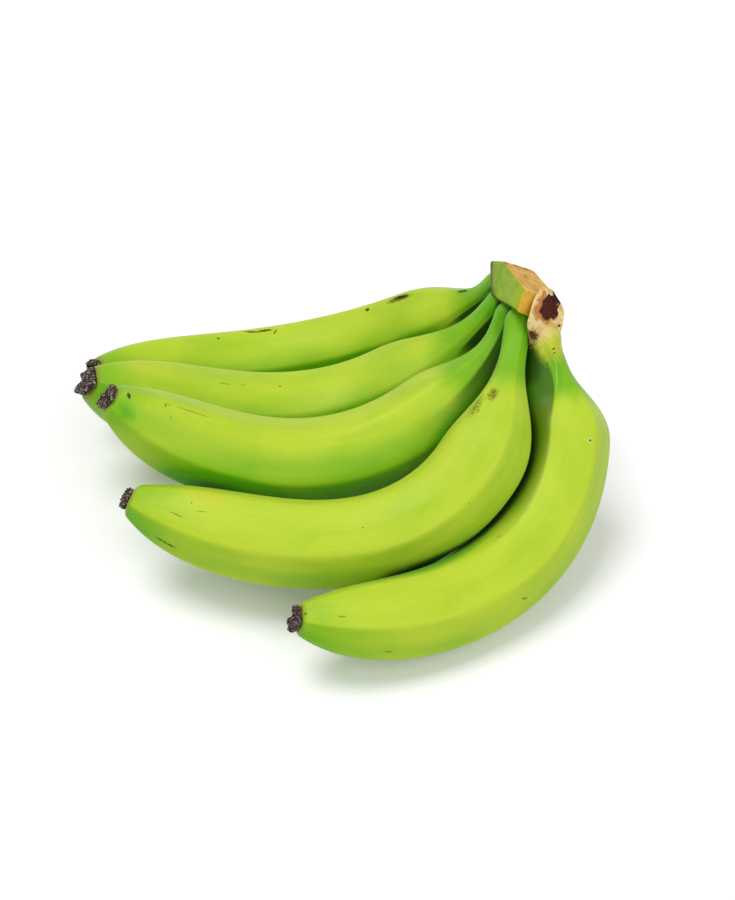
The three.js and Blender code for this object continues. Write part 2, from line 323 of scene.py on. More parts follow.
# ---- Settings ---------------------------------------------------------------------------
class BananaSettings(bpy.types.PropertyGroup):
    """Sizes and colours of the peels."""
    belly_radius: bpy.props.FloatProperty(
        name="Belly radius", description="Radius of a banana of plain girth at its thickest",
        default=18.2 * MM, min=10 * MM, max=30 * MM, unit="LENGTH", subtype="DISTANCE")
    stalk_radius: bpy.props.FloatProperty(
        name="Stalk radius", description="Radius of the stalk between the crown and the shoulder",
        default=5.3 * MM, min=3 * MM, max=9 * MM, unit="LENGTH", subtype="DISTANCE")
    tip_radius: bpy.props.FloatProperty(
        name="Tip radius", description="Radius of the body where the dried flower sits",
        default=4 * MM, min=2 * MM, max=8 * MM, unit="LENGTH", subtype="DISTANCE")
    ridge_height: bpy.props.FloatProperty(
        name="Ridge height", description="Height of the five ridges as a share of the radius",
        default=0.03, min=0, max=0.1, subtype="FACTOR")
    ripe_colour: bpy.props.FloatVectorProperty(
        name="Belly colour", description="Yellowish green of the belly's upper side",
        default=(0.5, 0.65, 0.035), min=0, max=1, size=3, subtype="COLOR")
    green_colour: bpy.props.FloatVectorProperty(
        name="Stalk colour", description="Deep green of the stalks, the tips and the undersides",
        default=(0.13, 0.43, 0.002), min=0, max=1, size=3, subtype="COLOR")


class CrownSettings(bpy.types.PropertyGroup):
    """Sizes and colours of the cut crown."""
    edge_sharpness: bpy.props.FloatProperty(
        name="Edge sharpness", description="How sharp the edges of the cuts are",
        default=40, min=8, max=90)
    fibre_height: bpy.props.FloatProperty(
        name="Fibre height", description="How far the fibres of the cut stand out",
        default=0.35 * MM, min=0, max=2 * MM, unit="LENGTH", subtype="DISTANCE")
    cut_colour: bpy.props.FloatVectorProperty(
        name="Cut colour", description="Tan of the dry cut",
        default=(0.8, 0.5, 0.14), min=0, max=1, size=3, subtype="COLOR")


class FlowerSettings(bpy.types.PropertyGroup):
    """Sizes and colours of the dried flowers."""
    radius: bpy.props.FloatProperty(
        name="Radius", description="Radius of a dried flower of plain size",
        default=5.2 * MM, min=2 * MM, max=9 * MM, unit="LENGTH", subtype="DISTANCE")
    length: bpy.props.FloatProperty(
        name="Length", description="How far a dried flower stands out from the tip",
        default=REMNANT_LENGTH * MM, min=1 * MM, max=9 * MM, unit="LENGTH", subtype="DISTANCE")
    colour: bpy.props.FloatVectorProperty(
        name="Colour", description="Blackish brown of the dry flower",
        default=(0.016, 0.01, 0.008), min=0, max=1, size=3, subtype="COLOR")


class StageSettings(bpy.types.PropertyGroup):
    """The floor and the light."""
    floor_colour: bpy.props.FloatVectorProperty(
        name="Floor colour", description="Near white of the floor",
        default=(0.8, 0.8, 0.79), min=0, max=1, size=3, subtype="COLOR")
    sky_strength: bpy.props.FloatProperty(
        name="Sky strength", description="Strength of the even light from all round",
        default=0.42, min=0, max=2)


# ---- Surfaces ---------------------------------------------------------------------------
def smoother_step(x, low, high):
    """0 below low and 1 above high, with 6t^5 - 15t^4 + 10t^3 between them."""
    t = np.clip((x - low) / (high - low), 0, 1)
    return t**3 * (t * (6 * t - 15) + 10)


def heading(compass, rise):
    """Unit vector with this compass direction (0 is +X, 90 is +Y) and this rise."""
    turn = math.radians(compass)
    climb = math.radians(rise)
    return np.array([math.cos(climb) * math.cos(turn), math.cos(climb) * math.sin(turn),
                     math.sin(climb)])


def lumps(points, size, seed):
    """Smooth random lumps from -1 to 1: random values on a lattice with cells of this size,
    blended inside each cell with 3f^2 - 2f^3."""
    table = np.random.default_rng(seed).uniform(-1, 1, 8192)
    cell = np.asarray(points) / size
    low = np.floor(cell).astype(np.int64)
    inside = cell - low
    inside = inside * inside * (3 - 2 * inside)
    total = np.zeros(cell.shape[:-1])
    for corner in range(8):
        step = np.array([corner & 1, corner >> 1 & 1, corner >> 2 & 1])
        key = ((low + step) * np.array([73856093, 19349663, 83492791])).sum(-1)
        total += table[key % 8192] * np.where(step, inside, 1 - inside).prod(-1)
    return total


def radius_at(share, banana, size):
    """Stalk radius plus its flare, swelling by a smoother step to the belly's and tapering
    with a power of the share to the tip's."""
    stalk, belly, tip = size.stalk_radius / MM, size.belly_radius / MM, size.tip_radius / MM
    swell = smoother_step(share, SHOULDER_START, banana["shoulder"])
    flare = FLARE * np.exp(-((share / FLARE_REACH) ** 2))
    taper = np.clip((share - TAPER_START) / (1 - TAPER_START), 0, 1) ** TAPER_POWER
    body = stalk + flare + (belly - stalk) * swell
    return banana["girth"] * body * (1 - (1 - tip / belly) * taper)


def turn_at(share, banana):
    """The sweep times the share, gathered in the middle by a sine and skewed by a cosine, plus
    the stalk's own bend, which fades as a bell. In radians."""
    wave = 2 * np.pi * share
    gathered = share + (banana["skew"] * (1 - np.cos(wave)) - BEND_GATHER * np.sin(wave)) / (
        2 * np.pi)
    stalk = banana["stalk_bend"] * np.exp(-((share / STALK_BEND_REACH) ** 2))
    return np.radians(banana["sweep"] * gathered + stalk)


def middle_line(banana, shares):
    """Points, inward directions and side directions of the middle line at these shares. The
    line leaves the root, turns in one plane by turn_at and is the running sum of its steps."""
    leaves = heading(banana["compass"], -banana["dip"])
    curls = heading(banana["curls_to"], 0)
    curls = curls - curls.dot(leaves) * leaves
    curls /= np.linalg.norm(curls)

    def along(share):
        turn = turn_at(np.maximum(share, 0), banana)[:, None]
        return np.cos(turn) * leaves + np.sin(turn) * curls

    fine = np.linspace(min(shares.min(), 0), shares.max(), 3001)
    steps = along((fine[1:] + fine[:-1]) / 2) * (np.diff(fine) * banana["length"])[:, None]
    travelled = np.vstack([np.zeros(3), np.cumsum(steps, axis=0)])

    def reached(share):
        return np.stack([np.interp(share, fine, travelled[:, k]) for k in range(3)], axis=-1)

    points = np.array(banana["root"]) + reached(shares) - reached(np.zeros(1))
    drawn = banana["tuck"] * np.exp(-((np.maximum(shares, 0) / TUCK_REACH) ** 2))
    points = points + drawn[:, None] * heading(*TUCK)
    turn = turn_at(np.maximum(shares, 0), banana)[:, None]
    inward = np.cos(turn) * curls - np.sin(turn) * leaves
    side = np.cross(inward, along(shares))
    return points, inward, side


def bent(banana, shares, angles, radii):
    """Surface points round the middle line: the point there, less the radius times the cosine
    of the angle inwards, plus the radius times its sine sideways. Rows run along the banana."""
    points, inward, side = middle_line(banana, shares)
    turn = np.radians(angles)[..., None]
    out = radii[..., None]
    return points[:, None] - out * np.cos(turn) * inward[:, None] + (
        out * np.sin(turn) * side[:, None])


def swelling(banana, shares, angles):
    """The web between two stalks, the nest's swelling and the collar where a stalk meets the
    stem's end: each a power of a cosine round the fruit times a bell along it."""
    web = np.maximum(0, np.cos(np.radians(angles - WEB_SIDE))) ** 2 * banana["web"]
    nest = np.maximum(0, np.cos(np.radians(angles - NEST_SIDE))) ** 6 * banana["nest"]
    collar = np.maximum(0, np.cos(np.radians(angles - COLLAR_SIDE))) ** 2 * banana["collar"]
    return web * np.exp(-(((shares - WEB_MIDDLE) / WEB_REACH) ** 2)) + (
        nest * np.exp(-(((shares - NEST_MIDDLE) / NEST_REACH) ** 2))) + (
        collar * np.exp(-(((shares - COLLAR_MIDDLE) / COLLAR_REACH) ** 2)))


def peel_surface(banana, size, rows=420, columns=130):
    """The radius along the banana times a soft pentagon: one plus the ridge height times the
    cosine of five waves and a share of ten, with a fine crease on each ridge, plus the
    swelling. The stalk ends inside the crown in half an ellipsoid."""
    body = banana["length"] - REMNANT_LENGTH - CLEARANCE - END_RIM
    share = np.linspace(0, 1, rows)
    gathered = share - 0.5 * np.sin(2 * np.pi * share) / (2 * np.pi)
    heights = banana["begins"] + (body - banana["begins"]) * gathered
    radii = radius_at(np.maximum(heights, 0) / banana["length"], banana, size)
    cap = np.linspace(0.04, 1, CAP_RINGS + 1)[:-1]
    heights = np.concatenate([banana["begins"] - STALK_CAP * (1 - cap), heights])
    radii = np.concatenate([radii[0] * np.sqrt(1 - (1 - cap) ** 2), radii])
    rim = np.linspace(0, 1, 11)[1:]
    heights = np.concatenate([heights, body + END_RIM * rim, np.full(4, body + END_RIM)])
    radii = np.concatenate([radii, radii[-1] * (1 + (END_FACE - 1) * rim**1.5),
                            radii[-1] * END_FACE * np.array([0.8, 0.6, 0.4, 0.2])])
    shares = heights / banana["length"]
    fifths = np.arange(columns) * 5 / columns
    ridges = np.append(RIDGE_ANGLES, RIDGE_ANGLES[0] + 360)
    angles = np.interp(fifths, np.arange(6), ridges) + banana["ridge_turn"]
    wave = 2 * np.pi * fifths
    off_ridge = np.abs((fifths + 0.5) % 1 - 0.5)
    section = 1 + size.ridge_height * (np.cos(wave) + RIDGE_SHARPNESS * np.cos(2 * wave))
    section = section + CREASE_HEIGHT * np.exp(-((off_ridge / CREASE_WIDTH) ** 2))
    swollen = np.minimum(swelling(banana, shares[:, None], angles), radii[:, None] * 3)
    out = radii[:, None] * section + swollen
    grid = bent(banana, shares, angles[None, :], out)
    turn = np.radians(angles)
    unbent = np.stack([-out * np.cos(turn), out * np.sin(turn),
                       np.broadcast_to(heights[:, None], out.shape)], axis=-1)
    ridge = np.broadcast_to(np.exp(-((off_ridge / RIDGE_WIDTH) ** 2)), out.shape)
    return grid, unbent, ridge


def closeness(rays, face):
    """One over the distance at which a ray meets the face, 0 where it looks away from it."""
    compass, rise, distance = face
    return np.maximum(rays @ heading(compass, rise), 0) / distance


def power_mean(values, power):
    """A soft largest value: the sum of the powers, taken back to its root."""
    return sum(value**power for value in values) ** (1 / power)


def cut_axes():
    """Unit vectors out of the stem's cut, across it and up it."""
    out = heading(*STEM_CUT[:2])
    across = np.cross([0, 0, 1], out)
    across /= np.linalg.norm(across)
    return out, across, np.cross(out, across)


def crown_surface(size, rows=230, columns=400):
    """A ray from the crown's centre meets a face at its distance over the cosine. Block and
    stem end are the power means of their faces' closeness, soft between skins and sharp at
    the cuts, the crown is the larger of the two, and fibres and lumps lie on its cuts."""
    tall = np.linspace(0, np.pi, rows + 2)[:, None]
    around = np.linspace(0, 2 * np.pi, columns, endpoint=False)[None, :]
    axis, right, up = cut_axes()
    rays = (np.cos(tall)[..., None] * axis
            + (np.sin(tall) * np.cos(around))[..., None] * right
            + (np.sin(tall) * np.sin(around))[..., None] * up)

    def nearest(faces, power):
        return power_mean([closeness(rays, face) for face in faces], power)

    skin = nearest(BLOCK_SKIN.values(), SKIN_POWER)
    cuts = nearest(BLOCK_CUTS.values(), CUTS_POWER)
    block = 1 / power_mean([skin, cuts], size.edge_sharpness)
    stem_skin = nearest(STEM_SKIN.values(), STEM_SKIN_POWER)
    stem_cut = nearest((STEM_CUT, STEM_CHIN), STEM_CUT_POWER)
    stem = 1 / power_mean([stem_skin, stem_cut], STEM_POWER)
    radius = power_mean([block, stem], JOIN_POWER)
    points = rays * radius[..., None]
    # what each point belongs to
    long_cut = closeness(rays, BLOCK_CUTS["long cut"])
    on_stem = smoother_step(stem - block, -0.25, 0.25)
    on_end = on_stem * smoother_step((stem_cut - stem_skin) / stem_cut.max(), -0.05, 0.12)
    on_cut = (1 - on_stem) * smoother_step((cuts - skin) * radius, -0.04, 0.04)
    on_long = on_cut * smoother_step((long_cut * radius) - 0.9, 0, 0.08)
    # The lip, where the inner row's face meets the faces below it, carries a painted shadow
    inner = closeness(rays, BLOCK_SKIN["inner row"])
    below = nearest([BLOCK_SKIN[name] for name in ("left", "inner lower", "underside")],
                    LOWER_POWER)
    lip_shadow = np.exp(-((((inner - below) * radius - 0.03) / 0.07) ** 2))
    lip_shadow = lip_shadow * (1 - on_stem) * (1 - on_cut) * smoother_step(inner * radius, 0.75, 0.95)
    others = nearest([BLOCK_CUTS[name] for name in ("bevel", "top")], LOWER_POWER)
    edge = on_long * np.exp(-(((long_cut - others) * radius - 0.02) / 0.045) ** 2)
    # relief
    along = heading(FIBRE_COMPASS, 0)
    fibre_space = points + (points @ along)[..., None] * along * -0.88
    fibres = lumps(fibre_space, 0.8, 3) + 0.5 * lumps(fibre_space, 0.4, 4)
    rough = lumps(points, 1.6, 5) + 0.5 * lumps(points, 0.7, 6)
    height = size.fibre_height / MM
    radius = radius + height * on_cut * (0.55 * fibres + 0.4 * rough - 0.3)
    radius = radius + height * on_end * (0.7 * rough - 0.2) + 0.18 * lumps(points, 4, 7)
    radius = radius + on_end * 0.35 * lumps(points, 3, 11)
    ring = np.exp(-(((stem_cut - stem_skin) / stem_cut.max() - 0.07) / 0.06) ** 2) * on_stem
    radius = radius + ring * (0.35 + 0.3 * lumps(points, 2, 12))
    across = points @ right - CORE[0]
    above = points @ up - CORE[1]
    core = np.hypot(across / CORE_SIZE[0], above / CORE_SIZE[1])
    core = core + 0.42 * lumps(points, 2.2, 8)
    stained = np.hypot((across + 1.6) / CORE_SIZE[0], (above - 0.6) / CORE_SIZE[1])
    stained = stained + 0.4 * lumps(points, 2, 9)
    radius = radius - 1.1 * on_end * smoother_step(1.1 - core, 0, 0.35)
    values = {"cut": on_cut, "long_cut": on_long, "stem_end": on_end, "stem": on_stem,
              "lip_shadow": lip_shadow, "edge": edge, "core": smoother_step(1.1 - core, 0, 0.16) * on_end,
              "halo": smoother_step(1.5 - stained, 0, 0.5) * on_end}
    points = rays * radius[..., None]
    away = np.linalg.norm(points - BULGE_PLACE, axis=-1) / BULGE_REACH
    points = points + BULGE_HEIGHT * np.exp(-(away**2))[..., None] * heading(*BULGE_WAY)
    return points, values


def remnant_surface(banana, index, size, rows=56, columns=150):
    """A lathed ring: out from the base, up the side, over the rim and down into the middle,
    with the waves of the solid's outline round it. Random lumps round the ring make its rim
    higher and lower, and lumps and spikes stand out all over it."""
    outline = np.array([[0.3, 0], [0.86, 0], [1, 0.25], [0.97, 0.6], [0.86, 0.95], [0.66, 1],
                        [0.48, 0.6], [0.22, 0.35]])
    steps = np.linspace(0, len(outline) - 1, rows)
    wide = np.interp(steps, np.arange(len(outline)), outline[:, 0])
    high = np.interp(steps, np.arange(len(outline)), outline[:, 1])[:, None]
    angles = np.arange(columns) * 360 / columns
    turn = np.radians(angles)
    waves = 1 + REMNANT_LUMP * (np.sin(3 * turn + index) + 0.6 * np.sin(5 * turn + 2 * index))
    circle = np.stack([2.4 * np.cos(turn), 2.4 * np.sin(turn), turn * 0 + 5 * index], axis=-1)
    crest = lumps(circle, 1, 21)
    length = size.length / MM
    radii = size.radius / MM * banana["remnant"] * wide[:, None] * waves
    radii = radii * (1 + 0.16 * high * crest)
    stands = length * high * (0.85 + 0.4 * crest)
    shares = (banana["length"] - length + length * high[:, 0]) / banana["length"]
    grid = bent(banana, shares, np.broadcast_to(angles, radii.shape), radii)
    points, inward, side = middle_line(banana, shares)
    grid = grid + (stands - length * high)[..., None] * np.cross(side, inward)[:, None]
    raised = 0.5 * lumps(grid, 1.5, index) + 0.45 * lumps(grid, 0.7, index + 9)
    raised = raised + 1.6 * np.maximum(lumps(grid, 0.9, index + 30) - 0.35, 0)
    return grid + raised[..., None] * radius_direction(grid)


def radius_direction(grid):
    """Unit vectors away from the grid's own middle."""
    out = grid - grid.reshape(-1, 3).mean(0)
    return out / np.linalg.norm(out, axis=-1)[..., None]


# ---- Meshes -----------------------------------------------------------------------------
def add_piece(name, grid, ends):
    """A closed mesh from a grid whose rows are rings, with a fan of triangles to a point at
    each end."""
    rows, columns = grid.shape[:2]
    points = np.vstack([grid.reshape(-1, 3), ends]) * MM
    ring = np.arange(rows * columns).reshape(rows, columns)
    after = np.roll(ring, -1, axis=1)
    quads = np.stack([ring[:-1], ring[1:], after[1:], after[:-1]], axis=-1).reshape(-1, 4)
    first = np.stack([np.full(columns, rows * columns), ring[0], after[0]], axis=-1)
    last = np.stack([ring[-1], np.full(columns, rows * columns + 1), after[-1]], axis=-1)
    fans = np.vstack([first, last])
    corners = np.concatenate([quads.ravel(), fans.ravel()])
    starts = np.concatenate([np.arange(len(quads)) * 4,
                             len(quads) * 4 + np.arange(len(fans)) * 3])
    mesh = bpy.data.meshes.new(name)
    mesh.vertices.add(len(points))
    mesh.vertices.foreach_set("co", points.astype(np.float32).ravel())
    mesh.loops.add(len(corners))
    mesh.loops.foreach_set("vertex_index", corners.astype(np.int32))
    mesh.polygons.add(len(starts))
    mesh.polygons.foreach_set("loop_start", starts.astype(np.int32))
    mesh.update(calc_edges=True)
    mesh.polygons.foreach_set("use_smooth", np.ones(len(starts), bool))
    if mesh.validate():
        raise RuntimeError(f"the mesh of {name} isn't sound")
    piece = bpy.data.objects.new(name, mesh)
    bpy.context.collection.objects.link(piece)
    return piece


def add_marks(piece, name, grid, ends):
    """Values for the materials, one for each point of the grid and of its ends: plain numbers,
    or vectors in metres."""
    if grid.ndim == 3:
        layer = piece.data.attributes.new(name, "FLOAT_VECTOR", "POINT")
        values = np.vstack([grid.reshape(-1, 3), ends]) * MM
        layer.data.foreach_set("vector", values.astype(np.float32).ravel())
    else:
        layer = piece.data.attributes.new(name, "FLOAT", "POINT")
        values = np.append(grid.ravel(), ends)
        layer.data.foreach_set("value", values.astype(np.float32))


def middles(grid):
    """The middle of the first ring and of the last."""
    return np.stack([grid[0].mean(0), grid[-1].mean(0)])


def nearness(number, points, size):
    """How near each point is to the other bananas: its distance to the nearest sample of their
    middle lines less the radius there. The first value is 1 where they touch, the second
    falls off more slowly. The peels paint shade by them: near black where the bananas touch,
    greener and darker near them."""
    flat = points.reshape(-1, 3)
    nearest = np.full(len(flat), 99.0)
    shares = np.linspace(0, 1, 90)
    for other, banana in enumerate(BANANAS, start=1):
        if other != number:
            scale, shift = banana_place(other, banana, size)
            line = middle_line(banana, shares)[0] * scale + shift
            squared = (flat**2).sum(1)[:, None] + (line**2).sum(1) - 2 * flat @ line.T
            distance = np.sqrt(np.maximum(squared, 0)) - radius_at(shares, banana, size)
            nearest = np.minimum(nearest, distance.min(1))
    nearest = nearest.reshape(points.shape[:2])
    return 1 - smoother_step(nearest, 1.2, 3.9), 1 - smoother_step(nearest, 1.5, 8)


def laid_on(own, node, inset):
    """The scale and shift that lay the box of these points on a solid's box less an inset."""
    low, high = [np.array(corner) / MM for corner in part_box(node)]
    own = own.reshape(-1, 3)
    scale = (high - low - 2 * inset) / (own.max(0) - own.min(0))
    return scale, low + inset - own.min(0) * scale


def banana_place(number, banana, size):
    """The scale and shift for a banana, from the rings and swellings that its solid has."""
    plain = peel_surface(dict(banana, tuck=0, nest=0, collar=0), size)[0][CAP_RINGS:]
    return laid_on(plain, f"banana_{number}", INSET)


# ---- Materials --------------------------------------------------------------------------
def add_node(tree, kind, sockets=None, **settings):
    """Adds a node. A socket is given a plain value or another node's output."""
    made = tree.nodes.new("ShaderNode" + kind)
    for key, value in settings.items():
        setattr(made, key, value)
    for key, value in (sockets or {}).items():
        if isinstance(value, bpy.types.NodeSocket):
            tree.links.new(value, made.inputs[key])
        else:
            made.inputs[key].default_value = value
    return made


def new_material(name):
    """A material, its tree and its Principled shader."""
    material = bpy.data.materials.new(name)
    material.use_nodes = True
    return material, material.node_tree, material.node_tree.nodes["Principled BSDF"]


def figure(tree, operation, *values, clamp=False):
    """Output of a Math node with these values."""
    made = add_node(tree, "Math", dict(enumerate(values)), operation=operation, use_clamp=clamp)
    return made.outputs[0]


def between(tree, value, low, high, bottom=0.0, top=1.0):
    """A smooth step from bottom at low to top at high."""
    made = add_node(tree, "MapRange", {0: value, 1: low, 2: high, 3: bottom, 4: top},
                    interpolation_type="SMOOTHSTEP")
    return made.outputs[0]


def around_value(tree, value, middle, half, top):
    """0 below the middle less half, top above the middle plus half."""
    return between(tree, value, figure(tree, "SUBTRACT", middle, half),
                   figure(tree, "ADD", middle, half), 0.0, top)


def cosine(tree, first, second):
    """The dot product of two vectors."""
    return add_node(tree, "VectorMath", {0: first, 1: second},
                    operation="DOT_PRODUCT").outputs["Value"]


def add_bump(tree, shader, strength, distance, height):
    """Fine relief on the shader's normals."""
    bump = add_node(tree, "Bump", {"Strength": strength, "Distance": distance,
                                   "Height": height})
    tree.links.new(bump.outputs[0], shader.inputs["Normal"])


def scaled(tree, vector, scale):
    """The vector, stretched along each axis."""
    made = add_node(tree, "Mapping", {"Vector": vector, "Scale": scale})
    return made.outputs[0]


def noise(tree, vector, scale, detail, roughness):
    """Smooth noise with about this many lumps to a metre."""
    made = add_node(tree, "TexNoise", {"Vector": vector, "Scale": scale, "Detail": detail,
                                       "Roughness": roughness})
    return made.outputs[0]


def tinted(tree, share, first, second, blend="MIX"):
    """The first colour, turning into the second by this share."""
    made = add_node(tree, "Mix", {0: share, 6: first, 7: second}, data_type="RGBA",
                    blend_type=blend)
    return made.outputs[2]


def attribute(tree, name, output="Fac"):
    """What add_marks put on the mesh under this name."""
    return add_node(tree, "Attribute", attribute_name=name).outputs[output]


def new_group(name, inputs, outputs):
    """A node group with these sockets: its tree, the outputs of its input node and the inputs
    of its output node."""
    tree = bpy.data.node_groups.new(name, "ShaderNodeTree")
    for in_out, sockets in (("INPUT", inputs), ("OUTPUT", outputs)):
        for socket, kind in sockets.items():
            tree.interface.new_socket(name=socket, in_out=in_out,
                                      socket_type=f"NodeSocket{kind}")
    given = tree.nodes.new("NodeGroupInput").outputs
    return tree, given, tree.nodes.new("NodeGroupOutput").inputs


def blemish_group(name):
    """A ragged oval spot. Its mask is 1 inside the oval, whose edge is moved by noise, and
    it is broken up where a finer noise is below Gaps."""
    tree, given, made = new_group(
        name,
        {"Vector": "Vector", "Place": "Vector", "Turn": "Vector", "Size": "Vector",
         "Ragged": "Float", "Gaps": "Float", "Softness": "Float"},
        {"Mask": "Float"})
    inside = add_node(tree, "Mapping", {"Vector": given["Vector"], "Location": given["Place"],
                                        "Rotation": given["Turn"], "Scale": given["Size"]},
                      vector_type="TEXTURE")
    distance = add_node(tree, "VectorMath", {0: inside.outputs[0]}, operation="LENGTH")
    wobble = noise(tree, given["Vector"], 900, 3, 0.6)
    wobble = figure(tree, "MULTIPLY", figure(tree, "SUBTRACT", wobble, 0.5), given["Ragged"])
    reached = figure(tree, "ADD", distance.outputs["Value"], wobble)
    full = figure(tree, "SUBTRACT", 1.0, given["Softness"])
    mask = figure(tree, "SUBTRACT", 1.0, between(tree, reached, full, 1.0))
    grains = noise(tree, given["Vector"], 1700, 2, 0.6)
    kept = between(tree, grains, given["Gaps"], figure(tree, "ADD", given["Gaps"], 0.08))
    tree.links.new(figure(tree, "MULTIPLY", mask, kept), made["Mask"])
    return tree


def peel_group():
    """The skin of one banana. Ripeness rises after the stalk, falls at the tip, on the green
    side with its facet and near the neighbours, varies in soft patches, and mixes the two
    colours. Fine streaks run along the fruit. A face that looks at another stalk and the
    places that touch are deep green, and the very tip is dry."""
    tree, given, made = new_group(
        "peel skin",
        {"Unbent": "Vector", "Green Side": "Vector", "Inner Side": "Vector",
         **dict.fromkeys(("Ridge", "Contact Shade", "Sheltered Shade", "Length", "Ripens", "Ripe", "Tip",
                          "Shade", "Greenness", "Tip Greenness", "Edge", "Inner Edge",
                          "Inner Start", "Inner End", "Inner"), "Float"),
         "Belly": "Color", "Stalk": "Color"},
        {"Color": "Color", "Roughness": "Float", "Height": "Float"})
    parts = add_node(tree, "SeparateXYZ", {0: given["Unbent"]}).outputs
    share = figure(tree, "DIVIDE", parts[2], given["Length"])
    flat = add_node(tree, "CombineXYZ", {0: parts[0], 1: parts[1]}).outputs[0]
    outward = add_node(tree, "VectorMath", {0: flat}, operation="NORMALIZE").outputs[0]
    # ripeness along the fruit
    patches = noise(tree, scaled(tree, given["Unbent"], (1, 1, 0.45)), 60, 3, 0.5)
    reached = figure(tree, "ADD", share, figure(tree, "MULTIPLY", patches, 0.05))
    ripe = between(tree, reached, given["Ripens"],
                   figure(tree, "ADD", given["Ripens"], 0.065), 0.12, given["Ripe"])
    ripe = figure(tree, "SUBTRACT", ripe, between(tree, share, 0.88, 1.0, 0.0, given["Tip"]))
    # the green side and its facet
    side = cosine(tree, outward, given["Green Side"])
    facet = around_value(tree, side, given["Edge"], 0.07, 0.45)
    lower = figure(tree, "ADD", between(tree, side, -0.1, 0.85, 0.0, 0.6), facet)
    greenness = between(tree, share, 0.74, 0.94, given["Greenness"], given["Tip Greenness"])
    lower = figure(tree, "MULTIPLY", lower, greenness)
    lower = figure(tree, "MULTIPLY", lower, between(tree, share, 0.16, 0.36))
    ripe = figure(tree, "SUBTRACT", ripe, lower)
    # painted shade near the neighbours, then patches and ridges
    sheltered_shade = figure(tree, "MULTIPLY", given["Sheltered Shade"], given["Shade"])
    ripe = figure(tree, "SUBTRACT", ripe, figure(tree, "MULTIPLY", sheltered_shade, 0.7))
    patchy = figure(tree, "MULTIPLY", figure(tree, "SUBTRACT", patches, 0.45), 1.1)
    ripe = figure(tree, "ADD", ripe, patchy)
    ripe = figure(tree, "MULTIPLY_ADD", given["Ridge"], 0.1, ripe, clamp=True)
    colour = tinted(tree, ripe, given["Stalk"], given["Belly"])
    # streaks and pores
    streaks = noise(tree, scaled(tree, given["Unbent"], (1, 1, 0.035)), 1100, 3, 0.6)
    light = between(tree, streaks, 0.3, 0.7, 0.975, 1.015)
    grey = add_node(tree, "CombineColor", {0: light, 1: light, 2: light}).outputs[0]
    colour = tinted(tree, 1.0, colour, grey, "MULTIPLY")
    pores = noise(tree, given["Unbent"], 2600, 1, 0.5)
    colour = tinted(tree, between(tree, pores, 0.74, 0.8, 0.0, 0.35), colour,
                    (0.16, 0.22, 0.02, 1))
    # painted shade: greener near the neighbours, dark green on a face that looks at another
    # stalk and near black where the bananas touch; and the dry tip
    colour = tinted(tree, figure(tree, "MULTIPLY", sheltered_shade, 0.45), colour,
                    (0.075, 0.36, 0.002, 1))
    # painted shade on the face that looks at another stalk
    facing = cosine(tree, outward, given["Inner Side"])
    inner = around_value(tree, facing, given["Inner Edge"], 0.04, given["Inner"])
    inner = figure(tree, "MULTIPLY", inner, between(tree, share, given["Inner Start"],
                                                    given["Inner End"], 1.0, 0.0))
    colour = tinted(tree, inner, colour, (*TINTS["painted_shade"], 1))
    # near black painted shade where the bananas touch
    colour = tinted(tree, figure(tree, "MULTIPLY", given["Contact Shade"], 0.95), colour,
                    (0.006, 0.03, 0.003, 1))
    dry = between(tree, figure(tree, "MULTIPLY_ADD", patches, 0.012, share), 0.98, 0.988)
    colour = tinted(tree, figure(tree, "MULTIPLY", dry, 0.5), colour, (0.3, 0.2, 0.04, 1))
    height = figure(tree, "MULTIPLY_ADD", streaks, 0.6, figure(tree, "MULTIPLY", pores, 0.4))
    tree.links.new(colour, made["Color"])
    tree.links.new(between(tree, patches, 0.3, 0.7, 0.4, 0.5), made["Roughness"])
    tree.links.new(height, made["Height"])
    return tree


def side_vector(angle):
    """The direction at this angle round an unbent banana."""
    turn = math.radians(angle)
    return (-math.cos(turn), math.sin(turn), 0)


def peel_spot(mark, banana, size):
    """The place, turn and size of a mark on the unbent banana, and how it looks."""
    share, angle, length, width, slant, *look = mark
    turn = math.radians(angle)
    out = radius_at(share, banana, size) + swelling(banana, share, angle)
    place = (-out * math.cos(turn) * MM, out * math.sin(turn) * MM,
             share * banana["length"] * MM)
    turned = (math.radians(slant), 0, math.atan2(math.sin(turn), -math.cos(turn)))
    return (place, turned, (MARK_DEPTH, width / 2 * MM, length / 2 * MM), *look)


def spots_mask(tree, group, vector, spots):
    """The largest of the masks of these spots, each times its strength."""
    mask = 0.0
    for place, turn, size, ragged, gaps, soft, strength in spots:
        spot = add_node(tree, "Group", {"Vector": vector, "Place": place, "Turn": turn,
                                        "Size": size, "Ragged": ragged, "Gaps": gaps,
                                        "Softness": soft}, node_tree=group)
        mask = figure(tree, "MAXIMUM", mask,
                      figure(tree, "MULTIPLY", spot.outputs[0], strength))
    return mask


